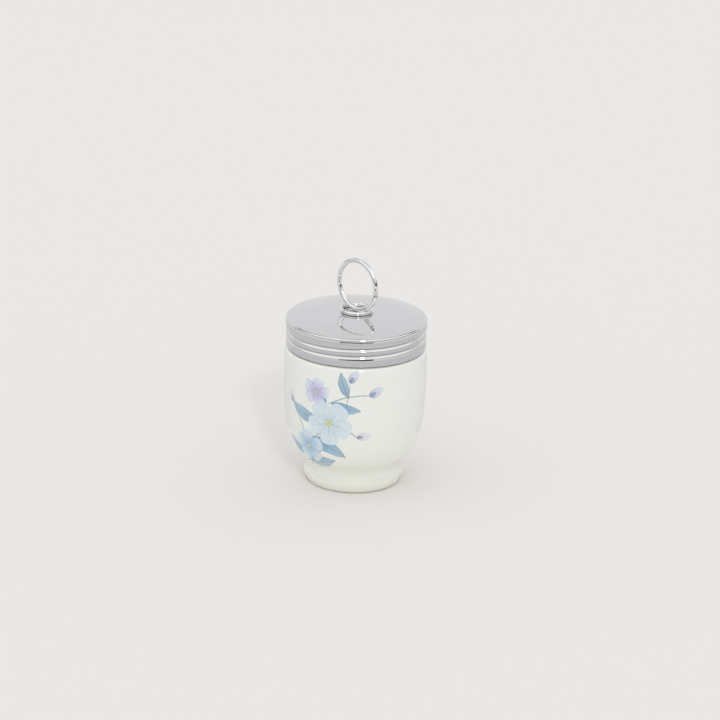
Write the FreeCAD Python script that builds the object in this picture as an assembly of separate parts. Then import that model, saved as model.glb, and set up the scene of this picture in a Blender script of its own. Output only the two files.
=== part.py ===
"""Egg coddler: a porcelain cup with a threaded neck, and a pressed metal screw lid that carries a lifting ring."""
import FreeCAD
import Part
import math
import os

Vector = FreeCAD.Vector

# Heights of the cup's stations in millimetres, each one above the last, from the surface it stands on.
FOOT_HEIGHT = 4.8
WAIST_RISE = 2.9
FLARE_RISE = 4.1
HIP_RISE = 4.0
FLANK_RISE = 8.0
CHEST_RISE = 10.0
BELLY_RISE = 13.0
SHOULDER_RISE = 11.9

# How far the cup's outline moves out from the lid to the belly, and then in and out again down to the foot.
BELLY_OVERHANG = 0.3
CHEST_INSET = 0.35
FLANK_INSET = 1.25
HIP_INSET = 2.55
FLARE_INSET = 3.0
WAIST_INSET = 2.1
FOOT_FLARE = 0.5
FOOT_SIDE_INSET = 0.38
FOOT_TAPER = 1.1

# Other sizes of the cup.
FOOT_RING_WIDTH = 2.4
FOOT_ROUND = 0.6
RECESS_DEPTH = 2.6
RECESS_RISE = 0.7
SHOULDER_ROUND = 1.5
WALL = 3.4
FLOOR_THICKNESS = 4.6
NECK_WALL = 2.6
WELL_NECK_RISE = 8.0
RIM_ROUND = 0.8

# Sizes of the lid: a pressed sheet cap, its rolled thread, and the two wire rings on it.
LID_RADIUS = 29.4
LID_DOME_RISE = 2.3
LID_CORNER_ROUND = 1.0
SHEET = 0.6
BAND_HEIGHT = 2.9
BAND_STEP = 0.25
BAND_SLOPE = 0.5
SKIRT_DEPTH = 12.1
BASE_RING_RADIUS = 6.2
BASE_WIRE = 1.75
LIFT_RING_RADIUS = 10.5
LIFT_WIRE = 2.0
BRAZE_SINK = 0.12

# Sizes of the screw thread that the neck and the skirt share.
THREAD_PITCH = 3.0
THREAD_MIDDLE_DROP = 6.3
THREAD_DEPTH = 0.6
RIDGE_HALF_WIDTH = 0.95
GROOVE_HALF_WIDTH = 0.85
CREST_HALF_WIDTH = 0.3
GROOVE_FLOOR_HALF_WIDTH = 0.06
SKIRT_TURNS = 1.95
NECK_TURNS = 1.5
RUN_OUT_TURNS = 0.15
RUN_OUT_START = 0.1
SECTIONS_PER_TURN = 16
THREAD_MIDDLE_ANGLE = 134.0

# Clearances between pieces.
SEAT_CLEARANCE = 0.05
SKIRT_CLEARANCE = 0.5
THREAD_CLEARANCE = 0.2
CORE_CLEARANCE = 0.25
RING_CLEARANCE = 0.03
THREAD_BITE = 0.4
OVERCUT = 0.3


def at(radius, height):
    """A point of a profile in the XZ plane."""
    return Vector(radius, 0, height)


def line(start, end):
    return Part.LineSegment(start, end).toShape()


def arc(start, middle, end):
    return Part.Arc(start, middle, end).toShape()


def rounded_corner(centre, radius, start_degrees, end_degrees):
    """A round of a profile, drawn about its centre, from one direction to another."""
    points = []
    for degrees in (start_degrees, (start_degrees + end_degrees) / 2, end_degrees):
        turn = math.radians(degrees)
        points.append(centre + Vector(radius * math.cos(turn), 0, radius * math.sin(turn)))
    return arc(*points)


def turned_left(direction):
    """The direction a quarter turn to the left of another, in a profile."""
    return Vector(-direction.z, 0, direction.x)


def tangent_arcs(start, direction, stations):
    """Arcs that leave the start along a direction and pass through the stations, each tangent to the last.

    Gives the edges, and the direction of the curve at each station.
    """
    edges = []
    directions = []
    for end in stations:
        chord = end - start
        side = turned_left(direction)
        radius = chord.dot(chord) / (2 * side.dot(chord))
        centre = start + side * radius
        outward = (start - centre) + (end - centre)
        outward.normalize()
        edges.append(arc(start, centre + outward * abs(radius), end))
        direction = chord * (2 * chord.dot(direction) / chord.dot(chord)) - direction
        directions.append(direction)
        start = end
    return edges, directions


def revolved(edges):
    """A solid turned about the Z axis from the edges of its profile, in any order."""
    face = Part.Face(Part.Wire(Part.__sortEdges__(edges)))
    return face.revolve(Vector(0, 0, 0), Vector(0, 0, 1), 360)


# Values worked out from the sizes above.
skirt_radius = LID_RADIUS - BAND_STEP
skirt_bore = skirt_radius - SHEET
waist_height = FOOT_HEIGHT + WAIST_RISE
flare_height = waist_height + FLARE_RISE
hip_height = flare_height + HIP_RISE
flank_height = hip_height + FLANK_RISE
chest_height = flank_height + CHEST_RISE
belly_height = chest_height + BELLY_RISE
shoulder_height = belly_height + SHOULDER_RISE
belly_radius = LID_RADIUS + BELLY_OVERHANG
chest_radius = belly_radius - CHEST_INSET
flank_radius = chest_radius - FLANK_INSET
hip_radius = flank_radius - HIP_INSET
flare_radius = hip_radius - FLARE_INSET
waist_radius = flare_radius - WAIST_INSET
foot_top_radius = waist_radius + FOOT_FLARE
foot_radius = foot_top_radius - FOOT_TAPER
skirt_foot = shoulder_height + SKIRT_CLEARANCE
lid_edge_height = skirt_foot + SKIRT_DEPTH
neck_crest = skirt_bore - THREAD_CLEARANCE
ridge_crest = skirt_bore - THREAD_DEPTH
neck_radius = ridge_crest - CORE_CLEARANCE
bore_radius = neck_radius - NECK_WALL
dome_reach = LID_RADIUS - LID_CORNER_ROUND
dome_radius = (dome_reach ** 2 + LID_DOME_RISE ** 2) / (2 * LID_DOME_RISE)
dome_top = lid_edge_height + LID_DOME_RISE
dome_centre = dome_top - dome_radius
thread_middle = lid_edge_height - THREAD_MIDDLE_DROP


def dome_height(radius, inset=0.0):
    """Height of the lid's top sheet at a radius, on its outside or as far inside it as the inset says."""
    return dome_centre + math.sqrt((dome_radius - inset) ** 2 - radius ** 2)


rim_height = dome_height(neck_radius - RIM_ROUND, SHEET) - SEAT_CLEARANCE


def thread_form(root, crest, half_width, crest_half_width, turns, middle_height):
    """A helical ridge of tapered section about the Z axis, which fades in and out over its run out.

    The root is the radius where its back lies, the crest the radius that it reaches.
    """
    count = int(math.ceil(turns * SECTIONS_PER_TURN)) + 1
    sections = []
    for i in range(count):
        turned = turns * i / (count - 1)
        fade = min(1.0, turned / RUN_OUT_TURNS, (turns - turned) / RUN_OUT_TURNS)
        reach = root + (crest - root) * (RUN_OUT_START + (1 - RUN_OUT_START) * fade)
        height = middle_height + THREAD_PITCH * (turned - turns / 2)
        corners = [
            at(root, height - half_width),
            at(reach, height - crest_half_width),
            at(reach, height + crest_half_width),
            at(root, height + half_width),
        ]
        section = Part.makePolygon(corners + corners[:1])
        section.rotate(Vector(0, 0, 0), Vector(0, 0, 1), THREAD_MIDDLE_ANGLE + 360 * (turned - turns / 2))
        sections.append(section)
    return Part.makeLoft(sections, True, False)


def make_cup():
    """Foot, bowl and neck as one fired piece, with the egg well inside and a recess under the foot."""
    down = Vector(0, 0, -1)
    belly = at(belly_radius, belly_height)
    foot_top = at(foot_top_radius, FOOT_HEIGHT)
    stations = [
        at(chest_radius, chest_height),
        at(flank_radius, flank_height),
        at(hip_radius, hip_height),
        at(flare_radius, flare_height),
        at(waist_radius, waist_height),
        foot_top,
    ]
    outside, directions = tangent_arcs(belly, down, stations)
    foot_start = at(foot_radius, FOOT_ROUND)
    foot_side = arc(foot_top, at(foot_top_radius - FOOT_SIDE_INSET, FOOT_HEIGHT / 2), foot_start)
    foot_inner = foot_radius - FOOT_ROUND - FOOT_RING_WIDTH
    recess_radius = foot_inner - FOOT_ROUND
    ceiling = RECESS_DEPTH + RECESS_RISE

    # The well keeps an even wall beside the chest and the flank, and then rounds into a flat floor.
    well_belly = at(belly_radius - WALL, belly_height)
    well_stations = [stations[i] - turned_left(directions[i]) * WALL for i in range(2)]
    well_sides = tangent_arcs(well_belly, down, well_stations)[0]
    well_floor = ceiling + FLOOR_THICKNESS
    inward = turned_left(directions[1]) * -1
    round_start = well_stations[1]
    round_radius = (round_start.z - well_floor) / (1 - inward.z)
    round_end = at(round_start.x + inward.x * round_radius, well_floor)
    well_round = tangent_arcs(round_start, directions[1], [round_end])[0]
    well_top = at(bore_radius, shoulder_height)
    well_shoulder = at(belly_radius - WALL, shoulder_height - WELL_NECK_RISE)
    well_neck = tangent_arcs(well_top, down, [(well_top + well_shoulder) * 0.5, well_shoulder])[0]

    shoulder_round_height = shoulder_height - SHOULDER_ROUND
    shoulder_end = at(belly_radius - SHOULDER_ROUND, shoulder_height)
    rim_round_height = rim_height - RIM_ROUND
    edges = [
        line(at(0, ceiling), at(0, well_floor)),
        line(at(0, well_floor), round_end),
        *well_round,
        *well_sides,
        line(well_belly, well_shoulder),
        *well_neck,
        line(well_top, at(bore_radius, rim_round_height)),
        rounded_corner(at(bore_radius + RIM_ROUND, rim_round_height), RIM_ROUND, 180, 90),
        line(at(bore_radius + RIM_ROUND, rim_height), at(neck_radius - RIM_ROUND, rim_height)),
        rounded_corner(at(neck_radius - RIM_ROUND, rim_round_height), RIM_ROUND, 90, 0),
        line(at(neck_radius, rim_round_height), at(neck_radius, shoulder_height)),
        line(at(neck_radius, shoulder_height), shoulder_end),
        rounded_corner(at(belly_radius - SHOULDER_ROUND, shoulder_round_height), SHOULDER_ROUND, 90, 0),
        line(at(belly_radius, shoulder_round_height), belly),
        *outside,
        foot_side,
        rounded_corner(at(foot_radius - FOOT_ROUND, FOOT_ROUND), FOOT_ROUND, 0, -90),
        line(at(foot_radius - FOOT_ROUND, 0), at(foot_inner, 0)),
        rounded_corner(at(foot_inner, FOOT_ROUND), FOOT_ROUND, -90, -180),
        line(at(recess_radius, FOOT_ROUND), at(recess_radius, RECESS_DEPTH)),
        line(at(recess_radius, RECESS_DEPTH), at(0, ceiling)),
    ]
    body = revolved(edges)
    ridge = thread_form(
        neck_radius - THREAD_BITE,
        neck_crest,
        RIDGE_HALF_WIDTH,
        CREST_HALF_WIDTH,
        NECK_TURNS,
        thread_middle + THREAD_PITCH / 2,
    )
    return body.fuse(ridge)


def sheet_outline(inset):
    """The lid's outline from the middle of its top to the foot of its skirt, as far inside the sheet as asked."""
    corner_centre_height = lid_edge_height - LID_CORNER_ROUND
    corner = LID_CORNER_ROUND - inset
    dome_edge = at(dome_reach, dome_height(dome_reach, inset))
    side_top = at(LID_RADIUS - inset, corner_centre_height)
    half_way = corner / math.sqrt(2)
    corner_middle = at(dome_reach + half_way, corner_centre_height + half_way)
    band_foot = lid_edge_height - BAND_HEIGHT
    return [
        arc(at(0, dome_top - inset), at(dome_reach / 2, dome_height(dome_reach / 2, inset)), dome_edge),
        arc(dome_edge, corner_middle, side_top),
        line(side_top, at(LID_RADIUS - inset, band_foot)),
        line(at(LID_RADIUS - inset, band_foot), at(skirt_radius - inset, band_foot - BAND_SLOPE)),
        line(at(skirt_radius - inset, band_foot - BAND_SLOPE), at(skirt_radius - inset, skirt_foot)),
    ]


def make_lid_shell():
    """A pressed cap of even sheet, with the thread rolled into its skirt: a groove outside, a ridge inside."""
    outer = sheet_outline(0.0)
    inner = sheet_outline(SHEET)
    edges = outer + inner
    edges.append(line(at(skirt_radius, skirt_foot), at(skirt_bore, skirt_foot)))
    edges.append(line(at(0, dome_top), at(0, dome_top - SHEET)))
    cap = revolved(edges)
    groove = thread_form(
        LID_RADIUS + OVERCUT,
        skirt_radius - THREAD_DEPTH,
        GROOVE_HALF_WIDTH,
        GROOVE_FLOOR_HALF_WIDTH,
        SKIRT_TURNS,
        thread_middle,
    )
    ridge = thread_form(
        skirt_bore + THREAD_BITE,
        ridge_crest,
        RIDGE_HALF_WIDTH,
        CREST_HALF_WIDTH,
        SKIRT_TURNS,
        thread_middle,
    )
    return cap.fuse(ridge).cut(groove)


def base_ring_height(radius):
    return dome_height(BASE_RING_RADIUS) + radius + RING_CLEARANCE


def make_base_ring():
    """A ring of round wire that lies flat on the lid."""
    wire = BASE_WIRE / 2
    return Part.makeTorus(BASE_RING_RADIUS, wire, at(0, base_ring_height(wire)), Vector(0, 0, 1))


def make_lifting_ring():
    """A ring of round wire that stands upright on the lid, brazed to it, with a saddle over the base ring."""
    wire = LIFT_WIRE / 2
    centre = at(0, dome_top - BRAZE_SINK + wire + LIFT_RING_RADIUS)
    ring = Part.makeTorus(LIFT_RING_RADIUS, wire, centre, Vector(0, 1, 0))
    base_wire = BASE_WIRE / 2
    saddle = Part.makeTorus(
        BASE_RING_RADIUS, base_wire + RING_CLEARANCE, at(0, base_ring_height(base_wire)), Vector(0, 0, 1)
    )
    top_sheet = Part.makeSphere(dome_radius, at(0, dome_centre))
    return ring.cut(saddle).cut(top_sheet)


def write(name, shape):
    solids = shape.removeSplitter().Solids
    print(name, "solids", len(solids), "valid", shape.isValid(), "volume", round(shape.Volume, 1))
    solids[0].exportStep("parts/" + name + ".step")


os.makedirs("parts", exist_ok=True)
write("cup", make_cup())
write("lid_shell", make_lid_shell())
write("base_ring", make_base_ring())
write("lifting_ring", make_lifting_ring())
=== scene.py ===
"""The looks of a porcelain egg coddler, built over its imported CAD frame, as a lesson in cells."""
# %% [markdown]
# The part comes in as a fixed frame: a porcelain cup, a pressed metal screw lid, a wire ring that lies on
# the lid and a wire ring that stands in it. The scene is in metres, in the same frame as the CAD model, with
# Z up through the middle of the cup. Sizes are listed in millimetres, and the rings and the rim's height
# are read from the frame, so the pieces that are rebuilt here stay where the frame's pieces are.

# %% Load the frame
import bpy
import math
from mathutils import Matrix, Vector


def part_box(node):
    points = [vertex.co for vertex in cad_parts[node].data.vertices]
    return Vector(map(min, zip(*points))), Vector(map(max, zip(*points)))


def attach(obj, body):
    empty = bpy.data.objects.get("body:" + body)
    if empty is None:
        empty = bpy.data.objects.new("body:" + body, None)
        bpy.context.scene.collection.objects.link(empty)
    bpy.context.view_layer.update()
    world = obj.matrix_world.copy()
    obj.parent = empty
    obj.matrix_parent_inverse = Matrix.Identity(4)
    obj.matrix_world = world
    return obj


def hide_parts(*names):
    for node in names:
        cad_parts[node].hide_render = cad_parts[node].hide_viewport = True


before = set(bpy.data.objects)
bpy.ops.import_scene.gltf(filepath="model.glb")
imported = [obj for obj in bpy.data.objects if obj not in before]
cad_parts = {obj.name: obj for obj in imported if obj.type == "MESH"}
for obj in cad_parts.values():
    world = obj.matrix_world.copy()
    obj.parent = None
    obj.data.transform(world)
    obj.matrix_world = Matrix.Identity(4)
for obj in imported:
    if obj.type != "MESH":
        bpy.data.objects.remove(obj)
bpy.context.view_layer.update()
scene = bpy.context.scene
scene.view_settings.view_transform = "Standard"
MM = 0.001

# %% [markdown]
# A photograph of a small thing on a table is taken from some way off with a long lens, so parallel edges
# stay nearly parallel. The camera below stands as far off as the ellipses of the lid and the foot say. It
# is turned until the middle of the foot lands on its own pixel, and rolled by the photograph's small tilt.

# %% Camera
PICTURE_SIDE = 720
SENSOR_WIDTH_MM = 36.0
LENS_MM = 153.7
CAMERA_DISTANCE = 1.300
CAMERA_AZIMUTH = math.radians(44.0)
CAMERA_ELEVATION = math.radians(22.1)
CAMERA_ROLL = math.radians(-1.4)
FOOT_MIDDLE_PIXEL = (352.8, 475.6)
NEAREST_SEEN = 0.05


def photo_camera():
    """A camera at the photograph's place, whose view of the origin falls on the foot's middle pixel."""
    data = bpy.data.cameras.new("photo_camera")
    data.lens = LENS_MM
    data.sensor_width = SENSOR_WIDTH_MM
    data.clip_start = NEAREST_SEEN
    camera = bpy.data.objects.new("photo_camera", data)
    scene.collection.objects.link(camera)
    flat = math.cos(CAMERA_ELEVATION)
    back = Vector((
        math.sin(CAMERA_AZIMUTH) * flat,
        -math.cos(CAMERA_AZIMUTH) * flat,
        math.sin(CAMERA_ELEVATION),
    ))
    right = Vector((math.cos(CAMERA_AZIMUTH), math.sin(CAMERA_AZIMUTH), 0))
    up = back.cross(right)
    aimed = Matrix((right, up, back))
    rolled = Matrix.Rotation(CAMERA_ROLL, 3, "Z") @ aimed
    pixels = LENS_MM / SENSOR_WIDTH_MM * PICTURE_SIDE
    middle = PICTURE_SIDE / 2
    towards = Vector((
        (FOOT_MIDDLE_PIXEL[0] - middle) / pixels,
        (middle - FOOT_MIDDLE_PIXEL[1]) / pixels,
        -1.0,
    ))
    swing = Vector((0, 0, -1)).rotation_difference(towards).to_matrix()
    world_to_camera = swing @ rolled
    camera.matrix_world = Matrix.Translation(back * CAMERA_DISTANCE) @ world_to_camera.transposed().to_4x4()
    return camera


scene.camera = photo_camera()
print("camera at", tuple(round(c, 3) for c in scene.camera.location))

# %% [markdown]
# The cup is turned on a wheel or pressed in a round mould, so its surface is a profile swept once about
# the Z axis. A lathe function in mesh code does this, because a profile is easy to draw and to check. The
# profile starts and ends on the axis, so the result is one closed skin with shared points, which shades
# smoothly.

# %% Lathe
STEPS_ROUND = 240
TINY = 1e-9


def lathe(name, profile):
    """A closed skin turned about Z from points (radius, height) that start and end on the axis."""
    verts, rings = [], []
    for radius, height in profile:
        if radius < TINY:
            rings.append([len(verts)] * STEPS_ROUND)
            verts.append((0.0, 0.0, height))
            continue
        ring = []
        for step in range(STEPS_ROUND):
            angle = 2 * math.pi * step / STEPS_ROUND
            ring.append(len(verts))
            verts.append((radius * math.cos(angle), radius * math.sin(angle), height))
        rings.append(ring)
    faces = []
    for low, high in zip(rings, rings[1:]):
        for step in range(STEPS_ROUND):
            after = (step + 1) % STEPS_ROUND
            corners = [low[step], low[after], high[after], high[step]]
            kept = [corner for k, corner in enumerate(corners) if corner != corners[k - 1]]
            if len(kept) > 2:
                faces.append(kept)
    mesh = bpy.data.meshes.new(name)
    mesh.from_pydata(verts, [], faces)
    mesh.polygons.foreach_set("use_smooth", [True] * len(mesh.polygons))
    mesh.update()
    piece = bpy.data.objects.new(name, mesh)
    scene.collection.objects.link(piece)
    return piece


print("lathe ready,", STEPS_ROUND, "steps round")

# %% [markdown]
# A drawn outline is a chain of arcs, each one tangent to the arc before it, so the glaze shows no corner
# where they meet. The helper below walks along such a chain. It is given a start, a direction and the next
# station, which together fix the arc, and it returns points along it and the direction at its end.

# %% Outline helpers
FINE = 14


def tangent_arc(start, direction, end, count=FINE):
    """Points on the arc that leaves start along a direction and stops at end, and its last direction."""
    start, end, direction = Vector(start), Vector(end), Vector(direction).normalized()
    chord = end - start
    side = Vector((-direction.y, direction.x))
    lean = side.dot(chord)
    if abs(lean) < TINY:
        return [start.lerp(end, k / count) for k in range(1, count + 1)], direction
    radius = chord.length_squared / (2 * lean)
    centre = start + side * radius
    spoke = start - centre
    sweep = math.copysign(2 * math.asin(min(1.0, chord.length / (2 * abs(radius)))), radius)
    points = []
    for k in range(1, count + 1):
        turn = sweep * k / count
        cosine, sine = math.cos(turn), math.sin(turn)
        points.append(centre + Vector((spoke.x * cosine - spoke.y * sine, spoke.x * sine + spoke.y * cosine)))
    leaving = chord * (2 * chord.dot(direction) / chord.length_squared) - direction
    return points, leaving.normalized()


def chain(start, direction, stations, count=FINE):
    """A run of tangent arcs through stations, as points, with the direction at each station."""
    points, directions = [], []
    for station in stations:
        run, direction = tangent_arc(start, direction, station, count)
        points += run
        directions.append(direction)
        start = station
    return points, directions


def round_points(centre, radius, start_degrees, end_degrees, count=6):
    """Points on a small round of an outline, both ends included."""
    points = []
    for k in range(count + 1):
        turn = math.radians(start_degrees + (end_degrees - start_degrees) * k / count)
        points.append(Vector((centre[0] + radius * math.cos(turn), centre[1] + radius * math.sin(turn))))
    return points


def straight(start, end, count):
    return [Vector(start).lerp(Vector(end), k / count) for k in range(1, count + 1)]


def in_metres(points):
    return [(p[0] * MM, p[1] * MM) for p in points]


print("outline helpers ready")

# %% [markdown]
# Most of what follows is made with node trees: geometry trees for the threads and the rings, and shader
# trees for the glaze and the metals. These helpers place nodes with few words. A value that goes into a
# node may be a plain value or a socket of another node.

# %% Node tree helpers
def new_tree(name, kind, inputs, outputs):
    """An empty node tree with sockets given as {name: kind}, and its two ends."""
    tree = bpy.data.node_groups.new(name, kind + "NodeTree")
    for side, sockets in (("INPUT", inputs), ("OUTPUT", outputs)):
        for label, socket_kind in sockets.items():
            tree.interface.new_socket(name=label, in_out=side, socket_type="NodeSocket" + socket_kind)
    return tree, tree.nodes.new("NodeGroupInput").outputs, tree.nodes.new("NodeGroupOutput").inputs


def give(tree, value, socket):
    """Feeds a socket from another socket, or sets it to a plain value."""
    if isinstance(value, bpy.types.NodeSocket):
        tree.links.new(value, socket)
    else:
        socket.default_value = value


def sums(tree):
    """A short way to place math nodes in a tree: it returns maths(operation, values...)."""
    def maths(operation, *values, clamp=False):
        node = tree.nodes.new("ShaderNodeMath")
        node.operation = operation
        node.use_clamp = clamp
        for k, value in enumerate(values):
            give(tree, value, node.inputs[k])
        return node.outputs[0]
    return maths


def smooth_step(tree, value, low, high):
    """Zero below the low limit, one above the high limit, and a smooth rise between them."""
    node = tree.nodes.new("ShaderNodeMapRange")
    node.interpolation_type = "SMOOTHSTEP"
    for label, given in (("Value", value), ("From Min", low), ("From Max", high)):
        give(tree, given, node.inputs[label])
    return node.outputs["Result"]


def geometry_tree(name, sizes):
    """An empty geometry tree whose inputs are a geometry, its sizes and a material."""
    inputs = {"Geometry": "Geometry", **dict.fromkeys(sizes, "Float"), "Material": "Material"}
    return new_tree(name, "Geometry", inputs, {"Geometry": "Geometry"})


def finish_tree(tree, geometry, given, out):
    """Every geometry tree ends in plain, painted mesh: shaded smooth, made real and given its material."""
    real = tree.nodes.new("GeometryNodeRealizeInstances")
    painted = tree.nodes.new("GeometryNodeSetMaterial")
    smooth = tree.nodes.new("GeometryNodeSetShadeSmooth")
    tree.links.new(geometry, smooth.inputs["Geometry"])
    tree.links.new(smooth.outputs[0], real.inputs[0])
    tree.links.new(real.outputs[0], painted.inputs["Geometry"])
    tree.links.new(given["Material"], painted.inputs["Material"])
    tree.links.new(painted.outputs[0], out["Geometry"])


def grown(piece, tree, **values):
    """Runs a node tree on a piece and keeps plain mesh. Input names have underscores for their spaces."""
    modifier = piece.modifiers.new(tree.name, "NODES")
    modifier.node_group = tree
    sockets = {s.name: s.identifier for s in tree.interface.items_tree if s.in_out == "INPUT"}
    for name, value in values.items():
        modifier[sockets[name.replace("_", " ")]] = value
    bpy.context.view_layer.update()
    shown = piece.evaluated_get(bpy.context.evaluated_depsgraph_get())
    mesh = bpy.data.meshes.new_from_object(shown)
    piece.modifiers.clear()
    piece.data = mesh
    mesh.name = piece.name
    print(piece.name, "grown by", tree.name, "to", len(mesh.polygons), "faces")


print("node helpers ready")

# %% [markdown]
# A screw thread is one groove or ridge that climbs by its pitch each time it goes round. A point of the
# wall is on it when its height, less the climb for its own angle, is near a whole number of pitches. That
# rule needs no path and no boolean cut, so it is made here as a Geometry Nodes tree that moves the points
# of a lathe-turned wall in or out. Its named inputs are the thread's sizes, and it fades out at both ends
# as a rolled thread does. A negative depth presses the wall in, and a positive one raises a ridge.

# %% Screw thread node tree
THREAD_PITCH, THREAD_DEPTH, THREAD_RUN_OUT = 3.0, 0.6, 0.15
THREAD_MIDDLE_HEIGHT, THREAD_MIDDLE_ANGLE = 65.0, math.radians(134.0)
GROOVE_TURNS, GROOVE_HALF_WIDTH = 1.95, 0.9
RIDGE_TURNS, RIDGE_HALF_WIDTH = 1.5, 0.95
THREAD_SIZES = (
    "Pitch", "Depth", "Half Width", "Turns", "Run Out", "Middle Height", "Middle Angle", "Least Radius",
    "Least Height",
)


def screw_thread_tree():
    """A node tree that raises or sinks a helical thread on a wall around the Z axis."""
    tree, given, out = geometry_tree("screw_thread", THREAD_SIZES)
    nodes, links = tree.nodes, tree.links
    maths = sums(tree)
    place = nodes.new("ShaderNodeSeparateXYZ")
    links.new(nodes.new("GeometryNodeInputPosition").outputs[0], place.inputs[0])
    x, y, z = place.outputs
    angle = maths("SUBTRACT", maths("ARCTAN2", y, x), given["Middle Angle"])
    turned = maths("WRAP", maths("DIVIDE", angle, 2 * math.pi), 0.5, -0.5)
    climbed = maths("DIVIDE", maths("SUBTRACT", z, given["Middle Height"]), given["Pitch"])
    offset = maths("SUBTRACT", climbed, turned)
    whole = maths("ROUND", offset)
    across = maths("MULTIPLY", maths("ABSOLUTE", maths("SUBTRACT", offset, whole)), given["Pitch"])
    along = maths("ABSOLUTE", maths("ADD", turned, whole))
    left = maths("SUBTRACT", maths("MULTIPLY", given["Turns"], 0.5), along)
    fade = maths("DIVIDE", left, given["Run Out"], clamp=True)
    near = maths("SUBTRACT", 1.0, maths("DIVIDE", across, given["Half Width"]), clamp=True)
    swell = smooth_step(tree, near, 0.0, 1.0)
    reach = maths("MULTIPLY", maths("MULTIPLY", swell, fade), given["Depth"])
    radius = maths("SQRT", maths("ADD", maths("MULTIPLY", x, x), maths("MULTIPLY", y, y)))
    outside = maths("GREATER_THAN", radius, given["Least Radius"])
    above = maths("GREATER_THAN", z, given["Least Height"])
    kept = maths("MULTIPLY", maths("MULTIPLY", reach, outside), above)
    share = maths("DIVIDE", kept, maths("MAXIMUM", radius, TINY))
    shift = nodes.new("ShaderNodeCombineXYZ")
    links.new(maths("MULTIPLY", x, share), shift.inputs[0])
    links.new(maths("MULTIPLY", y, share), shift.inputs[1])
    moved = nodes.new("GeometryNodeSetPosition")
    links.new(given["Geometry"], moved.inputs["Geometry"])
    links.new(shift.outputs[0], moved.inputs["Offset"])
    finish_tree(tree, moved.outputs[0], given, out)
    return tree


thread_tree = screw_thread_tree()
print("thread pitch", THREAD_PITCH, "mm, its tree has", len(thread_tree.nodes), "nodes")

# %% [markdown]
# Glazed porcelain is a warm white body under clear glass. A plain white would look like plastic, so the
# colour drifts a little from place to place. Low on the cup, down to the foot, it turns a touch warmer and
# darker, a painted reflection of the warm floor. The glaze is glossy but never quite flat, so a very shallow
# bump bends its reflections. Where the cup stood in the kiln, on the foot's edge and under the lid on the
# rim, it has no glaze and is matt. That bare biscuit is given a dark tone, so on the foot's edge it is also a
# painted contact shadow.

# %% Shader helpers
def new_material(name):
    """A new material, its node tree and its surface node."""
    material = bpy.data.materials.new(name)
    material.use_nodes = True
    return material, material.node_tree, material.node_tree.nodes["Principled BSDF"]


def mixed(tree, factor, first, second):
    """A colour mix. Factor and colours are sockets, numbers or colour values."""
    node = tree.nodes.new("ShaderNodeMix")
    node.data_type = "RGBA"
    for k, value in ((0, factor), (6, first), (7, second)):
        give(tree, value, node.inputs[k])
    return node.outputs[2]


def noise(tree, vector, scale, detail=2.0, kind="Fac"):
    """A cloudy texture, with more detail for finer grain."""
    node = tree.nodes.new("ShaderNodeTexNoise")
    for label, value in (("Vector", vector), ("Scale", scale), ("Detail", detail)):
        give(tree, value, node.inputs[label])
    return node.outputs[kind]


def bumped(tree, surface, height, strength, distance):
    """Lets a height tilt the surface's shading, as fine relief does."""
    bump = tree.nodes.new("ShaderNodeBump")
    for label, value in (("Strength", strength), ("Distance", distance), ("Height", height)):
        give(tree, value, bump.inputs[label])
    tree.links.new(bump.outputs[0], surface.inputs["Normal"])


def srgb(red, green, blue):
    """A colour given as 0 to 255 screen values, as the shader's linear numbers."""
    channels = []
    for value in (red, green, blue):
        share = value / 255
        channels.append(share / 12.92 if share <= 0.04045 else ((share + 0.055) / 1.055) ** 2.4)
    return (*channels, 1.0)


print("shader helpers ready")

# %% [markdown]
# The decoration is a small spray of garden flowers, as printed on many cups: round five-petalled blossoms,
# narrow leaves and closed buds on one curved stem. It is drawn with a single brush stroke group, placed many
# times. A stroke knows how far along and across itself a point of the surface lies, so it can taper, shade
# from light to dark, and carry a fine vein and outline. The strokes lie in wrap coordinates: the distance
# round the cup, and the height. This is a design of its own in the soft blues of such ware.

# %% Brush stroke group
EDGE_WOBBLE, EDGE_SOFTNESS = 0.22, 0.16
SHADE_FROM, SHADE_SHARE, DARK_HALF_SHARE = 0.35, 0.55, 0.35
VEIN_CORE, VEIN_EDGE = 0.02, 0.20
OUTLINE_CORE, OUTLINE_EDGE = 0.12, 0.42
STROKE_COLOURS = ("Under", "Base Colour", "Tip Colour", "Line Colour")
STROKE_NUMBERS = (
    "Round", "Height", "Grain", "Start Round", "Start Height", "Turn", "Length", "Width", "Base Power",
    "Tip Power", "Bend", "Vein", "Outline", "Strength",
)


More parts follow.
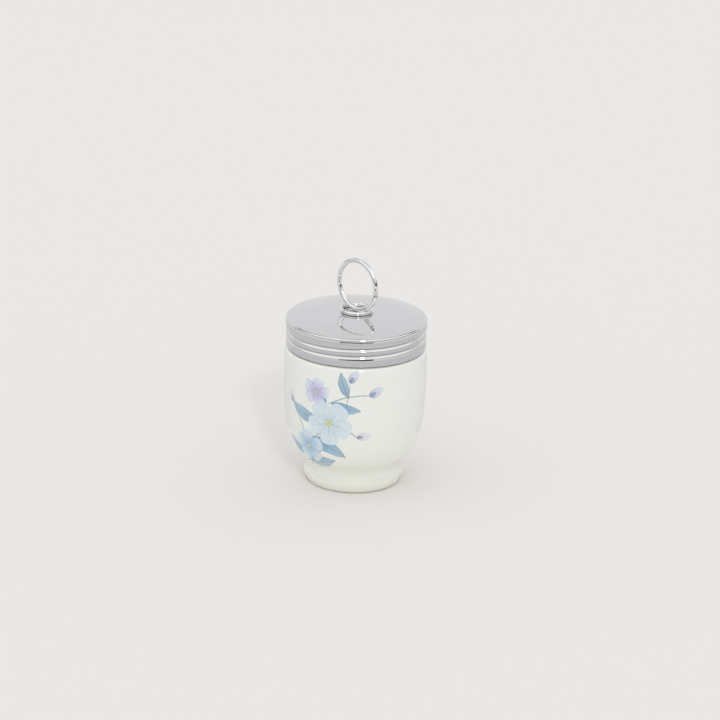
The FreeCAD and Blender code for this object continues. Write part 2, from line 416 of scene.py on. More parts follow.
def brush_stroke_group():
    """One tapered stroke laid over a colour: a petal, a leaf, a bud or a length of stem."""
    inputs = {**dict.fromkeys(STROKE_COLOURS, "Color"), **dict.fromkeys(STROKE_NUMBERS, "Float")}
    tree, given, out = new_tree("brush_stroke", "Shader", inputs, {"Colour": "Color"})
    maths = sums(tree)
    side = maths("SUBTRACT", given["Round"], given["Start Round"])
    rise = maths("SUBTRACT", given["Height"], given["Start Height"])
    cosine = maths("COSINE", given["Turn"])
    sine = maths("SINE", given["Turn"])
    reach = maths("ADD", maths("MULTIPLY", side, cosine), maths("MULTIPLY", rise, sine))
    along = maths("DIVIDE", reach, given["Length"])
    flat = maths("SUBTRACT", maths("MULTIPLY", rise, cosine), maths("MULTIPLY", side, sine))
    inside = maths("MULTIPLY", along, maths("SUBTRACT", 1.0, along))
    across = maths("SUBTRACT", flat, maths("MULTIPLY", inside, given["Bend"]))
    from_base = maths("POWER", maths("MAXIMUM", along, 0.0), given["Base Power"])
    ahead = maths("MAXIMUM", maths("SUBTRACT", 1.0, along), 0.0)
    from_tip = maths("POWER", ahead, given["Tip Power"])
    half = maths("MULTIPLY", maths("MULTIPLY", from_base, from_tip), given["Width"])
    margin = maths("SUBTRACT", half, maths("ABSOLUTE", across))
    wobble = maths("MULTIPLY", maths("SUBTRACT", given["Grain"], 0.5), EDGE_WOBBLE)
    wobbled = maths("ADD", margin, wobble)
    mask = smooth_step(tree, wobbled, 0.0, EDGE_SOFTNESS)
    line, vein = given["Line Colour"], given["Vein"]
    length_share = smooth_step(tree, along, 0.0, 1.0)
    body = mixed(tree, length_share, given["Base Colour"], given["Tip Colour"])
    dark_grain = maths("SUBTRACT", given["Grain"], SHADE_FROM)
    body = mixed(tree, maths("MULTIPLY", dark_grain, SHADE_SHARE, clamp=True), body, line)
    half_side = smooth_step(tree, across, 0.0, maths("ADD", half, 0.01))
    dark_half = maths("MULTIPLY", half_side, DARK_HALF_SHARE)
    body = mixed(tree, maths("MULTIPLY", dark_half, vein), body, line)
    middle = maths("SUBTRACT", 1.0, smooth_step(tree, maths("ABSOLUTE", across), VEIN_CORE, VEIN_EDGE))
    body = mixed(tree, maths("MULTIPLY", middle, vein), body, line)
    edge = maths("SUBTRACT", 1.0, smooth_step(tree, wobbled, OUTLINE_CORE, OUTLINE_EDGE))
    body = mixed(tree, maths("MULTIPLY", edge, given["Outline"]), body, line)
    laid = maths("MULTIPLY", mask, given["Strength"])
    tree.links.new(mixed(tree, laid, given["Under"], body), out["Colour"])
    return tree


stroke_tree = brush_stroke_group()
print("brush stroke group has", len(stroke_tree.nodes), "nodes")

# %% [markdown]
# The spray's colours are those of old blue and white garden ware: pale sky blue petals with a yellow-green
# eye, slate blue leaves, and a few lilac and pink buds. Each colour is given as screen values and named for
# what it paints. The sizes of a blossom's and a bud's parts are shares of its own length.

# %% Floral spray
PALE_PETAL = srgb(222, 234, 242)
BLUE_PETAL = srgb(150, 190, 222)
WHITE_PETAL = srgb(206, 222, 226)
PETAL_LINE = srgb(124, 156, 184)
WHITE_LINE = srgb(168, 192, 210)
EYE_YELLOW = srgb(214, 216, 150)
EYE_GREEN = srgb(150, 170, 120)
LEAF_PALE = srgb(166, 198, 219)
LEAF_BLUE = srgb(92, 158, 204)
LEAF_GREY = srgb(140, 176, 196)
LEAF_LINE = srgb(88, 118, 142)
LILAC = srgb(196, 180, 224)
LILAC_LINE = srgb(150, 136, 190)
PINK = srgb(232, 206, 220)
PINK_LINE = srgb(196, 160, 184)
STEM = srgb(134, 158, 162)

STEM_SHAPE = {"Base Power": 0.05, "Tip Power": 0.12, "Vein": 0.0, "Outline": 0.0, "Strength": 0.85}
LEAF_SHAPE = {"Base Power": 0.75, "Tip Power": 0.95, "Vein": 0.75, "Outline": 0.35, "Strength": 0.9}
PETAL_SHAPE = {"Base Power": 0.8, "Tip Power": 0.34, "Vein": 0.12, "Outline": 0.4, "Strength": 0.92}
BUD_SHAPE = {"Base Power": 0.5, "Tip Power": 0.6, "Vein": 0.2, "Outline": 0.25, "Strength": 0.85}
PETAL_WIDTH, MARK_LENGTH, MARK_WIDTH, EYE_SIZE = 0.86, 0.55, 0.07, 0.32
BUD_WIDTH, SEPAL_LENGTH, SEPAL_WIDTH, STEM_WIDTH = 0.62, 0.5, 0.3, 0.5


def stroke(shape, start, turn, length, width, colours, bend=0.0):
    """One stroke's values: where it starts, its direction in degrees, its size in mm and three colours."""
    power = shape["Base Power"] + shape["Tip Power"]
    widest = shape["Base Power"] / power
    peak = widest ** shape["Base Power"] * (1 - widest) ** shape["Tip Power"]
    values = dict(shape)
    values.update({
        "Start Round": start[0],
        "Start Height": start[1],
        "Turn": math.radians(turn),
        "Length": length,
        "Width": width / 2 / peak,
        "Bend": bend * 4,
        "Base Colour": colours[0],
        "Tip Colour": colours[1],
        "Line Colour": colours[2],
    })
    return values


def blossom(middle, size, turn, colours):
    """Five round petals about a yellow-green eye."""
    turns = [turn + 72 * k for k in range(5)]
    strokes = [stroke(PETAL_SHAPE, middle, t, size, size * PETAL_WIDTH, colours) for t in turns]
    mark = dict(STEM_SHAPE, Strength=0.35)
    length, width = size * MARK_LENGTH, size * MARK_WIDTH
    strokes += [stroke(mark, middle, t, length, width, (PETAL_LINE,) * 3) for t in turns]
    eye, across = dict(BUD_SHAPE, Outline=0.5), size * EYE_SIZE
    start = (middle[0] - across / 2, middle[1])
    strokes.append(stroke(eye, start, 0, across, across, (EYE_YELLOW, EYE_YELLOW, EYE_GREEN)))
    return strokes


def leaf(start, turn, length, width, dark=True, bend=0.0):
    colours = (LEAF_BLUE, LEAF_PALE, LEAF_LINE) if dark else (LEAF_GREY, LEAF_PALE, LEAF_LINE)
    return [stroke(LEAF_SHAPE, start, turn, length, width, colours, bend)]


def bud(start, turn, length, lilac=True):
    colours = (LILAC, PALE_PETAL, LILAC_LINE) if lilac else (PINK, PALE_PETAL, PINK_LINE)
    return [
        stroke(BUD_SHAPE, start, turn, length, length * BUD_WIDTH, colours),
        *leaf(start, turn, length * SEPAL_LENGTH, length * SEPAL_WIDTH, dark=False),
    ]


def stem(start, turn, length, bend):
    return [stroke(STEM_SHAPE, start, turn, length, STEM_WIDTH, (STEM, STEM, LEAF_LINE), bend)]


def floral_spray():
    """A crescent spray, from a spread of leaves low on the left up to a bud high on the right."""
    strokes = []
    strokes += stem((-17.0, 16.5), 59.4, 35.6, -4.6)
    strokes += stem((-13.0, 26.0), 20, 15.0, 1.6)
    strokes += stem((-5.5, 39.5), 14, 13.4, 1.2)
    strokes += stem((-5.2, 33.4), -26, 9.8, 0.8)
    strokes += stem((-13.5, 25.0), 118, 13.0, -1.2)
    strokes += leaf((-15.8, 19.0), 8, 12.5, 4.6, dark=False, bend=-0.8)
    strokes += leaf((-15.6, 20.5), 148, 9.5, 3.8, bend=0.6)
    strokes += leaf((-12.4, 27.0), -22, 13.5, 4.8, bend=1.0)
    strokes += leaf((-9.0, 33.5), 160, 11.0, 4.2, dark=False, bend=0.8)
    strokes += leaf((-6.2, 37.5), 128, 11.0, 4.0, bend=-0.7)
    strokes += leaf((0.5, 42.2), 106, 8.2, 3.0, dark=False, bend=0.4)
    strokes += leaf((-4.6, 40.0), -12, 9.5, 3.4, bend=-0.6)
    strokes += bud((3.2, 29.3), 8, 4.6, lilac=False)
    strokes += bud((6.8, 42.6), 28, 4.8)
    strokes += bud((0.9, 46.8), 58, 4.4)
    strokes += bud((-19.4, 36.6), 112, 4.6, lilac=False)
    strokes += blossom((-13.2, 24.2), 5.6, 20, (BLUE_PETAL, PALE_PETAL, PETAL_LINE))
    strokes += blossom((-5.2, 33.4), 7.2, 52, (WHITE_PETAL, PALE_PETAL, WHITE_LINE))
    strokes += blossom((-9.6, 42.6), 4.4, 5, (LILAC, PALE_PETAL, LILAC_LINE))
    return strokes


spray = floral_spray()
print("the spray has", len(spray), "strokes")

# %% [markdown]
# The porcelain material lays the strokes over the glaze's white, one after another, so that later ones cover
# earlier ones. The angle round the cup is counted from the side that faces the camera and turned into a
# distance, and a little noise shifts both coordinates, so the printed edges are not ruler-drawn. Lengths are
# in millimetres here, and the scales of the noises are per metre.

# %% Glazed porcelain
WRAP_RADIUS = 29.4
SPRAY_ANGLE = CAMERA_AZIMUTH - math.pi / 2
SPRAY_SCALE, SPRAY_SHIFT, SPRAY_TOP = 1.38, (-3.4, -12.0), 58.0
PRINT_DRIFT = 0.5
DRIFT_SCALE, GRAIN_SCALE, CLOUD_SCALE, SPECKLE_SCALE, RIPPLE_SCALE = 420.0, 900.0, 28.0, 2600.0, 160.0
COOL_WHITE, CLEAR_WHITE, FLOOR_REFLECTION_WHITE = srgb(235, 238, 231), srgb(240, 242, 236), srgb(236, 237, 226)
# Below these heights the white turns warmer and darker: a painted reflection of the warm floor.
FULL_REFLECTION_BELOW, NO_REFLECTION_ABOVE, REFLECTION_SHARE = 6.0, 34.0, 0.7
# Bare biscuit, darkened so that on the foot's edge it is also a painted contact shadow.
SHADED_DARK_BISCUIT, SHADED_PALE_BISCUIT = srgb(188, 180, 164), srgb(208, 200, 186)
FOOT_UNGLAZED, FOOT_GLAZE_EDGE = 0.5, 0.25
RIM_UNGLAZED, RIM_GLAZE_EDGE = 70.55, 0.2
RECESS_SIDE, OUTSIDE_FROM = 16.0, 20.5
GLAZE_ROUGHNESS, CLOUD_ROUGHNESS, BISCUIT_ROUGHNESS, BISCUIT_BUMP = 0.06, 0.05, 0.55, 1.5
BODY_VALUES = {
    "Coat Roughness": 0.04,
    "IOR": 1.5,
    "Subsurface Weight": 0.12,
    "Subsurface Radius": (1.0, 0.9, 0.75),
    "Subsurface Scale": 0.0012,
}
RIPPLE_STRENGTH, RIPPLE_DEPTH = 0.12, 0.0002


def wrap_coordinates(tree, coordinates):
    """The distance round the cup from the side that faces the camera, the height and the radius."""
    maths = sums(tree)
    place = tree.nodes.new("ShaderNodeSeparateXYZ")
    tree.links.new(coordinates, place.inputs[0])
    x, y, z = place.outputs
    cosine, sine = math.cos(SPRAY_ANGLE), math.sin(SPRAY_ANGLE)
    ahead = maths("ADD", maths("MULTIPLY", x, cosine), maths("MULTIPLY", y, sine))
    aside = maths("SUBTRACT", maths("MULTIPLY", y, cosine), maths("MULTIPLY", x, sine))
    around = maths("MULTIPLY", maths("ARCTAN2", aside, ahead), WRAP_RADIUS)
    reach = maths("SQRT", maths("ADD", maths("MULTIPLY", x, x), maths("MULTIPLY", y, y)))
    return around, maths("DIVIDE", z, MM), maths("DIVIDE", reach, MM)


def printed_spray(tree, coordinates, under, around, height):
    """A colour with every stroke of the spray laid over it."""
    maths = sums(tree)
    drift = tree.nodes.new("ShaderNodeSeparateColor")
    tree.links.new(noise(tree, coordinates, DRIFT_SCALE, kind="Color"), drift.inputs[0])
    placed = []
    for distance, share, shift in zip((around, height), drift.outputs, SPRAY_SHIFT):
        drifted = maths("ADD", distance, maths("MULTIPLY", maths("SUBTRACT", share, 0.5), PRINT_DRIFT))
        placed.append(maths("DIVIDE", maths("SUBTRACT", drifted, shift), SPRAY_SCALE))
    grain = noise(tree, coordinates, GRAIN_SCALE, 4.0)
    colour = under
    for values in spray:
        node = tree.nodes.new("ShaderNodeGroup")
        node.node_tree = stroke_tree
        for label, source in zip(("Under", "Round", "Height", "Grain"), (colour, *placed, grain)):
            tree.links.new(source, node.inputs[label])
        for label, value in values.items():
            node.inputs[label].default_value = value
        colour = node.outputs["Colour"]
    return colour


def bare_places(tree, height, radius):
    """A mask of the two places without glaze: the foot's edge and the rim."""
    maths = sums(tree)
    foot = maths("SUBTRACT", 1.0, smooth_step(tree, height, FOOT_UNGLAZED, FOOT_UNGLAZED + FOOT_GLAZE_EDGE))
    rim = smooth_step(tree, height, RIM_UNGLAZED, RIM_UNGLAZED + RIM_GLAZE_EDGE)
    outside_recess = maths("GREATER_THAN", radius, RECESS_SIDE)
    return maths("MAXIMUM", maths("MULTIPLY", foot, outside_recess), rim)


def glazed_porcelain():
    material, tree, surface = new_material("glazed_porcelain")
    maths = sums(tree)
    coordinates = tree.nodes.new("ShaderNodeTexCoord").outputs["Object"]
    around, height, radius = wrap_coordinates(tree, coordinates)
    clouds = noise(tree, coordinates, CLOUD_SCALE)
    speckle = noise(tree, coordinates, SPECKLE_SCALE, 3.0)
    white = mixed(tree, clouds, COOL_WHITE, CLEAR_WHITE)
    # The lower cup is painted warmer and darker, as a reflection of the warm floor.
    low = maths("SUBTRACT", 1.0, smooth_step(tree, height, FULL_REFLECTION_BELOW, NO_REFLECTION_ABOVE))
    white = mixed(tree, maths("MULTIPLY", low, REFLECTION_SHARE), white, FLOOR_REFLECTION_WHITE)
    outside = maths("GREATER_THAN", radius, OUTSIDE_FROM)
    in_spray = maths("MULTIPLY", outside, maths("LESS_THAN", height, SPRAY_TOP))
    colour = mixed(tree, in_spray, white, printed_spray(tree, coordinates, white, around, height))
    bare = bare_places(tree, height, radius)
    # The bare places take the darkened biscuit, which on the foot's edge is also a painted contact shadow.
    colour = mixed(tree, bare, colour, mixed(tree, speckle, SHADED_DARK_BISCUIT, SHADED_PALE_BISCUIT))
    gloss = maths("ADD", maths("MULTIPLY", clouds, CLOUD_ROUGHNESS), GLAZE_ROUGHNESS)
    looks = {
        "Base Color": colour,
        "Roughness": maths("ADD", gloss, maths("MULTIPLY", bare, BISCUIT_ROUGHNESS)),
        "Coat Weight": maths("SUBTRACT", 1.0, bare),
        **BODY_VALUES,
    }
    for label, value in looks.items():
        give(tree, value, surface.inputs[label])
    rough_bare = maths("MULTIPLY", maths("MULTIPLY", speckle, bare), BISCUIT_BUMP)
    ripple = maths("ADD", noise(tree, coordinates, RIPPLE_SCALE, 1.0), rough_bare)
    bumped(tree, surface, ripple, RIPPLE_STRENGTH, RIPPLE_DEPTH)
    return material


porcelain = glazed_porcelain()
print("porcelain has", len(porcelain.node_tree.nodes), "nodes")

# %% [markdown]
# The lid is thin stainless sheet, polished after pressing. Such metal is a soft mirror: it has no colour of
# its own beyond a cool grey, and what shows on it is the room. Years of washing leave hair-thin marks that
# only widen the highlights, so they go in the roughness and a faint bump, and not in the colour. The same
# wear group serves the sheet and the bright wire of the rings, with its own values in each.

# %% Polished metals
HAIR_TURN, HAIR_STRETCH = 0.6, (1.0, 0.05, 0.3)
HAIR_FROM, HAIR_FULL, HAIR_DEPTH = 0.58, 0.72, 0.00005
CLOUD_SHARE, HAIR_SHARE = 0.7, 0.3
WEAR_NUMBERS = ("Least Roughness", "Most Roughness", "Cloud Scale", "Mark Scale")
WEAR_COLOURS = ("Clean Colour", "Worn Colour")


def metal_wear_group():
    """Hair marks and clouding of polished metal: a roughness, a height for a bump and a tint."""
    inputs = {
        "Vector": "Vector",
        **dict.fromkeys(WEAR_NUMBERS, "Float"),
        **dict.fromkeys(WEAR_COLOURS, "Color"),
    }
    outputs = {"Colour": "Color", "Roughness": "Float", "Height": "Float"}
    tree, given, out = new_tree("metal_wear", "Shader", inputs, outputs)
    maths = sums(tree)
    cloud = noise(tree, given["Vector"], given["Cloud Scale"], 3.0)
    stretch = tree.nodes.new("ShaderNodeMapping")
    stretch.inputs["Rotation"].default_value = (0.0, 0.0, HAIR_TURN)
    stretch.inputs["Scale"].default_value = HAIR_STRETCH
    tree.links.new(given["Vector"], stretch.inputs["Vector"])
    marks = noise(tree, stretch.outputs[0], given["Mark Scale"], 4.0)
    hairs = smooth_step(tree, marks, HAIR_FROM, HAIR_FULL)
    worn = maths("ADD", maths("MULTIPLY", cloud, CLOUD_SHARE), maths("MULTIPLY", hairs, HAIR_SHARE))
    span = maths("SUBTRACT", given["Most Roughness"], given["Least Roughness"])
    rough = maths("ADD", given["Least Roughness"], maths("MULTIPLY", span, worn))
    tree.links.new(rough, out["Roughness"])
    tree.links.new(maths("MULTIPLY", hairs, -1.0), out["Height"])
    tree.links.new(mixed(tree, worn, given["Clean Colour"], given["Worn Colour"]), out["Colour"])
    return tree


wear_tree = metal_wear_group()


def polished_metal(name, bump_strength, **wear_values):
    """A polished metal with its own wear values. Their names have underscores for their spaces."""
    material, tree, surface = new_material(name)
    wear = tree.nodes.new("ShaderNodeGroup")
    wear.node_tree = wear_tree
    tree.links.new(tree.nodes.new("ShaderNodeTexCoord").outputs["Object"], wear.inputs["Vector"])
    for label, value in wear_values.items():
        wear.inputs[label.replace("_", " ")].default_value = value
    tree.links.new(wear.outputs["Colour"], surface.inputs["Base Color"])
    tree.links.new(wear.outputs["Roughness"], surface.inputs["Roughness"])
    surface.inputs["Metallic"].default_value = 1.0
    bumped(tree, surface, wear.outputs["Height"], bump_strength, HAIR_DEPTH)
    return material


lid_metal = polished_metal(
    "polished_lid_sheet", 0.06, Clean_Colour=srgb(224, 224, 225), Worn_Colour=srgb(216, 216, 218),
    Least_Roughness=0.02, Most_Roughness=0.07, Cloud_Scale=70.0, Mark_Scale=2200.0,
)
wire_metal = polished_metal(
    "bright_wire", 0.08, Clean_Colour=srgb(240, 240, 240), Worn_Colour=srgb(228, 228, 229),
    Least_Roughness=0.02, Most_Roughness=0.07, Cloud_Scale=300.0, Mark_Scale=3000.0,
)
print("metals", lid_metal.name, wire_metal.name)

# %% [markdown]
# The cup and the lid screw together, so they share one list of sizes, in millimetres. They repeat those of
# the CAD model, where each station of the cup's side is a pair of radius and height. Only the foot's ring is
# a little narrower and rounder below, so the thin shadow under it shows. The neck is worked out inwards from
# the lid: the skirt, the thread's depth and the clearances leave the rest for the porcelain.

# %% Sizes of the cup and the lid
FOOT_RADIUS, FOOT_ROUND, FOOT_RING_WIDTH = 19.85, 0.9, 1.8
RECESS_DEPTH, RECESS_RISE, FLOOR_THICKNESS = 2.6, 0.7, 4.6
WALL, NECK_WALL, WELL_NECK_RISE, RIM_ROUND = 3.4, 2.6, 8.0, 0.8
SHOULDER_HEIGHT, SHOULDER_ROUND = 58.7, 1.5
FOOT_TOP = (20.95, 4.8)
FOOT_SIDE = (20.57, 2.4)
WAIST, FLARE, HIP = (20.45, 7.7), (22.55, 11.8), (25.55, 15.8)
FLANK, CHEST, BELLY = (28.1, 23.8), (29.35, 33.8), (29.7, 46.8)
LID_RADIUS, LID_EDGE_HEIGHT, LID_DOME_RISE, LID_CORNER_ROUND = 29.4, 71.3, 2.3, 1.0
SHEET, BAND_HEIGHT, BAND_STEP, BAND_SLOPE, SKIRT_DEPTH = 0.6, 2.9, 0.25, 0.5, 12.1
THREAD_CLEARANCE, CORE_CLEARANCE = 0.2, 0.25

skirt_radius = LID_RADIUS - BAND_STEP
skirt_bore = skirt_radius - SHEET
neck_radius = skirt_bore - THREAD_DEPTH - CORE_CLEARANCE
neck_ridge = skirt_bore - THREAD_CLEARANCE - neck_radius
bore_radius = neck_radius - NECK_WALL
rim_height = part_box("cup")[1].z / MM
skirt_foot = LID_EDGE_HEIGHT - SKIRT_DEPTH
print("neck radius", round(neck_radius, 2), "ridge", round(neck_ridge, 2), "rim height", round(rim_height, 2))

# %% [markdown]
# The cup's outline has a foot ring, a narrow waist, the full bowl, a round shoulder and a straight neck. The
# inside keeps an even wall and rounds into a flat floor, and the foot is hollowed underneath. The neck's
# wall has many more points than it needs for its own shape, because the thread tree can only move points
# that are there.

# %% The cup's outline
DOWN = (0.0, -1.0)
NECK_STEPS = 72


def three_point_arc(start, middle, end, count=FINE):
    """Points on the arc through three points, without the first."""
    start, middle, end = Vector(start), Vector(middle), Vector(end)
    first, second = middle - start, end - start
    cross = 2 * (first.x * second.y - first.y * second.x)
    offset = Vector((
        second.y * first.length_squared - first.y * second.length_squared,
        first.x * second.length_squared - second.x * first.length_squared,
    )) / cross
    tangent = Vector((-offset.y, offset.x))
    if tangent.dot(first) < 0:
        tangent = -tangent
    return tangent_arc(start, tangent, end, count)[0]


def cup_outline():
    """The cup's outline, from the middle of the recess under the foot round to the middle of the well."""
    ceiling = RECESS_DEPTH + RECESS_RISE
    foot_inner = FOOT_RADIUS - FOOT_ROUND - FOOT_RING_WIDTH
    recess_radius = foot_inner - FOOT_ROUND
    outside, directions = chain(BELLY, DOWN, [CHEST, FLANK, HIP, FLARE, WAIST, FOOT_TOP])
    foot_side = three_point_arc(FOOT_TOP, FOOT_SIDE, (FOOT_RADIUS, FOOT_ROUND))
    down_side = [Vector(BELLY), *outside, *foot_side]
    points = [Vector((0, ceiling)), *straight((0, ceiling), (recess_radius, RECESS_DEPTH), 8)]
    points += straight((recess_radius, RECESS_DEPTH), (recess_radius, FOOT_ROUND), 3)
    points += round_points((foot_inner, FOOT_ROUND), FOOT_ROUND, 180, 270)[1:]
    points += straight((foot_inner, 0), (FOOT_RADIUS - FOOT_ROUND, 0), 4)
    points += round_points((FOOT_RADIUS - FOOT_ROUND, FOOT_ROUND), FOOT_ROUND, 270, 360)[1:]
    points += down_side[::-1][1:]
    shoulder_round_height = SHOULDER_HEIGHT - SHOULDER_ROUND
    points += straight(BELLY, (BELLY[0], shoulder_round_height), 4)
    points += round_points((BELLY[0] - SHOULDER_ROUND, shoulder_round_height), SHOULDER_ROUND, 0, 90, 8)[1:]
    points += straight((BELLY[0] - SHOULDER_ROUND, SHOULDER_HEIGHT), (neck_radius, SHOULDER_HEIGHT), 2)
    rim_round_height = rim_height - RIM_ROUND
    points += straight((neck_radius, SHOULDER_HEIGHT), (neck_radius, rim_round_height), NECK_STEPS)
    points += round_points((neck_radius - RIM_ROUND, rim_round_height), RIM_ROUND, 0, 90)[1:]
    points += straight((neck_radius - RIM_ROUND, rim_height), (bore_radius + RIM_ROUND, rim_height), 4)
    points += round_points((bore_radius + RIM_ROUND, rim_round_height), RIM_ROUND, 90, 180)[1:]
    points += straight((bore_radius, rim_round_height), (bore_radius, SHOULDER_HEIGHT), 6)
    well_shoulder = Vector((BELLY[0] - WALL, SHOULDER_HEIGHT - WELL_NECK_RISE))
    well_top = Vector((bore_radius, SHOULDER_HEIGHT))
    points += chain(well_top, DOWN, [(well_top + well_shoulder) / 2, well_shoulder])[0]
    well_belly = Vector((BELLY[0] - WALL, BELLY[1]))
    points += straight(well_shoulder, well_belly, 3)
    sides = []
    for station, direction in zip((CHEST, FLANK), directions):
        sides.append(Vector(station) - Vector((-direction.y, direction.x)) * WALL)
    run, leaving = chain(well_belly, DOWN, sides)
    points += run
    well_floor = ceiling + FLOOR_THICKNESS
    inward = Vector((leaving[1].y, -leaving[1].x))
    well_radius = (sides[1].y - well_floor) / (1 - inward.y)
    floor_edge = Vector((sides[1].x + inward.x * well_radius, well_floor))
    points += tangent_arc(sides[1], leaving[1], floor_edge, 3 * FINE)[0]
    points += straight(floor_edge, (0, well_floor), 2)
    return points


cup_profile = in_metres(cup_outline())
print("the cup's outline has", len(cup_profile), "points")

# %% [markdown]
# The lathe turns the outline, and the thread tree then raises the ridge on the neck. The ridge is half a
# pitch above the lid's groove, so its turns lie between those of the groove, as in a real screw. The least
# radius and the least height keep the tree away from the well and the shoulder.

# %% The porcelain cup
NECK_MARGIN, SHOULDER_MARGIN = 0.1, 0.2
cup = lathe("porcelain_cup", cup_profile)
grown(
    cup, thread_tree, Material=porcelain, Pitch=THREAD_PITCH * MM, Depth=neck_ridge * MM,
    Half_Width=RIDGE_HALF_WIDTH * MM, Turns=RIDGE_TURNS, Run_Out=THREAD_RUN_OUT,
    Middle_Height=(THREAD_MIDDLE_HEIGHT + THREAD_PITCH / 2) * MM, Middle_Angle=THREAD_MIDDLE_ANGLE,
    Least_Radius=(neck_radius - NECK_MARGIN) * MM, Least_Height=(SHOULDER_HEIGHT + SHOULDER_MARGIN) * MM,
)
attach(cup, "cup")
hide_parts("cup")

# %% [markdown]
# The lid is one skin with an outside and an inside, a sheet's thickness apart. It is turned on the lathe as
# a plain cap with a rounded edge, and then the thread tree presses the groove into both sides at once, as
# the rolling tool does, so the groove outside is the ridge that grips inside. The dome is nearly flat in the
# middle and falls faster towards its edge, so the upright ring's reflection closes before it.

# %% The screw lid
BAND_LEAN = 8.0
HEM_BAND_MIDDLE, HEM_BAND_HALF, HEM_BAND_BULGE = 61.2, 1.4, 0.07
DOME_EDGE_TILT, DOME_SINK, DOME_STEPS = 18.0, 0.1, 32
SKIRT_STEPS, BORE_MARGIN = 68, 0.2
edge_tilt = math.radians(DOME_EDGE_TILT)
dome_top = LID_EDGE_HEIGHT + LID_DOME_RISE - DOME_SINK
dome_edge = Vector((
    LID_RADIUS - LID_CORNER_ROUND * (1 - math.sin(edge_tilt)),
    LID_EDGE_HEIGHT - LID_CORNER_ROUND * (1 - math.cos(edge_tilt)),
))
dome_power = math.tan(edge_tilt) * dome_edge.x / (dome_top - dome_edge.y)


def dome_point(share, inset):
    """A point of the dome at a share of its reach, moved in from the outside by an inset."""
    tilt = math.atan(math.tan(edge_tilt) * share ** (dome_power - 1))
    height = dome_top - (dome_top - dome_edge.y) * share ** dome_power
    return Vector((dome_edge.x * share - inset * math.sin(tilt), height - inset * math.cos(tilt)))


def sheet_outline(inset):
    """One side of the lid's sheet, from the middle of the top down to the skirt's foot."""
    points = [dome_point(k / DOME_STEPS, inset) for k in range(DOME_STEPS + 1)]
    corner_middle = (LID_RADIUS - LID_CORNER_ROUND, LID_EDGE_HEIGHT - LID_CORNER_ROUND)
    points += round_points(corner_middle, LID_CORNER_ROUND - inset, 90 - DOME_EDGE_TILT, BAND_LEAN, 12)[1:]
    lean = math.radians(BAND_LEAN)
    band_foot = Vector((LID_RADIUS - inset, LID_EDGE_HEIGHT - BAND_HEIGHT))
    points += tangent_arc(points[-1], Vector((math.sin(lean), -math.cos(lean))), band_foot, 12)[0]
    narrow = band_foot - Vector((BAND_STEP, BAND_SLOPE))
    points += straight(band_foot, narrow, 5)
    for point in straight(narrow, (skirt_radius - inset, skirt_foot + SHEET / 2), SKIRT_STEPS):
        off_middle = (point[1] - HEM_BAND_MIDDLE) / HEM_BAND_HALF
        points.append(Vector((point[0] + HEM_BAND_BULGE * max(0.0, 1 - off_middle ** 2), point[1])))
    return points


def lid_outline():
    outer, inner = sheet_outline(0.0), sheet_outline(SHEET)
    middle = (skirt_radius - SHEET / 2, skirt_foot + SHEET / 2)
    hem = round_points(middle, SHEET / 2, 0, -180, 6)[1:-1]
    return outer + hem + inner[::-1]


lid = lathe("screw_lid", in_metres(lid_outline()[::-1]))
grown(
    lid, thread_tree, Material=lid_metal, Pitch=THREAD_PITCH * MM, Depth=-THREAD_DEPTH * MM,
    Half_Width=GROOVE_HALF_WIDTH * MM, Turns=GROOVE_TURNS, Run_Out=THREAD_RUN_OUT,
    Middle_Height=THREAD_MIDDLE_HEIGHT * MM, Middle_Angle=THREAD_MIDDLE_ANGLE,
    Least_Radius=(skirt_bore - BORE_MARGIN) * MM, Least_Height=skirt_foot * MM,
)
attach(lid, "lid")
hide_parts("lid_shell")

# %% [markdown]
# Both rings are round wire bent into a circle. A Geometry Nodes tree sweeps a small circle round a large one.
# Its inputs are the two radii, the place and whether the ring stands upright, so one tree makes the ring
# that lies on the lid and the ring that a finger or a hook goes through.

# %% The wire rings
RING_STEPS, WIRE_STEPS = 144, 32


def wire_ring_tree():
    """A node tree that makes a ring of round wire, lying flat or turned up by a tilt."""
    sizes = ("Ring Radius", "Wire Radius", "Centre Height", "Tilt")
    tree, given, out = geometry_tree("wire_ring", sizes)
    nodes, links = tree.nodes, tree.links
    ring = nodes.new("GeometryNodeCurvePrimitiveCircle")
    ring.inputs["Resolution"].default_value = RING_STEPS
    links.new(given["Ring Radius"], ring.inputs["Radius"])
    wire = nodes.new("GeometryNodeCurvePrimitiveCircle")
    wire.inputs["Resolution"].default_value = WIRE_STEPS
    links.new(given["Wire Radius"], wire.inputs["Radius"])
    swept = nodes.new("GeometryNodeCurveToMesh")
    links.new(ring.outputs["Curve"], swept.inputs["Curve"])
    links.new(wire.outputs["Curve"], swept.inputs["Profile Curve"])
    turn = nodes.new("ShaderNodeCombineXYZ")
    links.new(given["Tilt"], turn.inputs[0])
    lift = nodes.new("ShaderNodeCombineXYZ")
    links.new(given["Centre Height"], lift.inputs[2])
    placed = nodes.new("GeometryNodeTransform")
    links.new(swept.outputs[0], placed.inputs["Geometry"])
    links.new(lift.outputs[0], placed.inputs["Translation"])
    links.new(turn.outputs[0], placed.inputs["Rotation"])
    finish_tree(tree, placed.outputs[0], given, out)
    return tree


ring_tree = wire_ring_tree()


def wire_ring(name, node, tilt, body):
    """A ring of wire in place of a CAD ring, with its sizes and height read from that ring's box."""
    low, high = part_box(node)
    wire = (high - low)[1 if tilt else 2] / 2
    ring = bpy.data.objects.new(name, bpy.data.meshes.new(name))
    scene.collection.objects.link(ring)
    radius = (high.x - low.x) / 2 - wire
    centre_height = high.z - wire - (radius if tilt else 0.0)
    grown(
        ring, ring_tree, Material=wire_metal, Ring_Radius=radius, Wire_Radius=wire,
        Centre_Height=centre_height, Tilt=tilt,
    )
    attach(ring, body)
    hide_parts(node)
    return ring


base_ring = wire_ring("ring_on_lid", "base_ring", 0.0, "lid_carrier")
lifting_ring = wire_ring("upright_ring", "lifting_ring", math.pi / 2, "lid")

